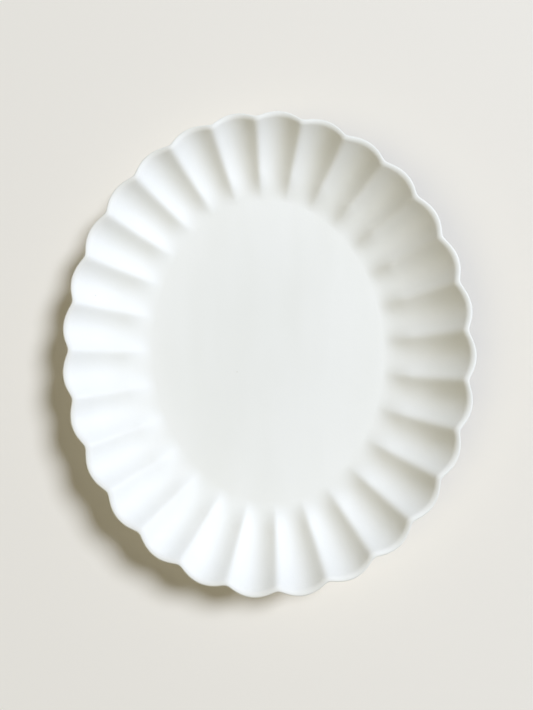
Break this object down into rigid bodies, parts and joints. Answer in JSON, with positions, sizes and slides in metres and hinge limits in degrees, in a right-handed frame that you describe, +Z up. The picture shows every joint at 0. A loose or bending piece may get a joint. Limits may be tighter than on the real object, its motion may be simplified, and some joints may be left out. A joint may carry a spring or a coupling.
{
  "type": "oval serving platter",
  "caption": "Oval ceramic serving platter with a flat well, a wall pressed into hollow petals, a scalloped rounded lip and a low foot ring.",
  "frame": {"origin": "centre of the foot ring's flat tread, at the bottom of the platter", "axes": "+Z up out of the dish, +Y along the platter's length, +X across its width"},
  "size_m": [0.2528, 0.2998, 0.0331],
  "materials": {
    "clay": "bare fired stoneware, matt and faintly grainy",
    "glaze": "satin white glaze"
  },
  "bodies": {
    "root": {"platter_body": "clay", "foot_ring": "clay", "upper_glaze": "glaze", "under_glaze": "glaze", "base_glaze": "glaze"}
  },
  "joints": []
}
